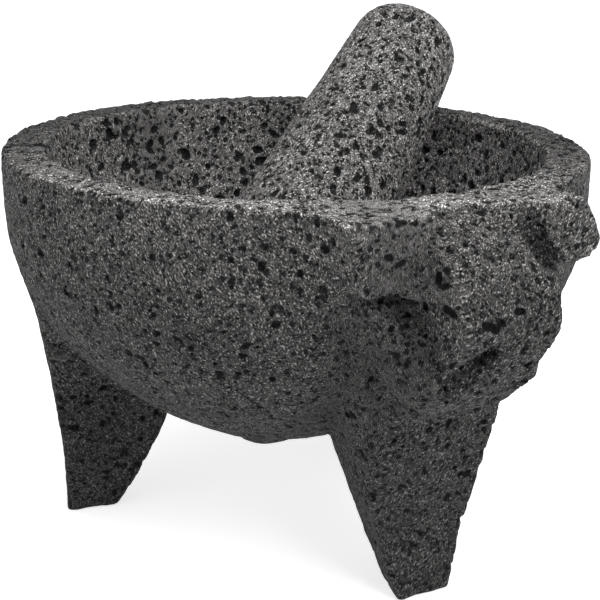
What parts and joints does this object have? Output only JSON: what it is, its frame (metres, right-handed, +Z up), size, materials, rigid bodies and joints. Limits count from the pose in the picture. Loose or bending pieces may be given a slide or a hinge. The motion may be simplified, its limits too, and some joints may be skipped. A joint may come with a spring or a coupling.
{
  "type": "mortar and pestle",
  "caption": "Three-legged stone mortar with an animal head carved under its rim, and a loose tapered pestle leaning in the bowl.",
  "frame": {"origin": "bottom centre of the bounding box, on the surface that the three feet stand on", "axes": "+Z up, -Y out of the front, where the carved head faces, +X to the right of a viewer who looks along +Y"},
  "size_m": [0.214, 0.239, 0.1929],
  "materials": {
    "mortar_basalt": "rough, vesicular, dark grey",
    "pestle_basalt": "rough, vesicular, mid grey"
  },
  "bodies": {
    "mortar_body": {"mortar": "mortar_basalt"},
    "pestle_body": {"pestle": "pestle_basalt"}
  },
  "joints": [
    {"name": "pestle_lift", "type": "slide", "parent": "mortar_body", "child": "pestle_body", "axis": [0, 0, 1], "range_m": [0, 0.12]}
  ]
}
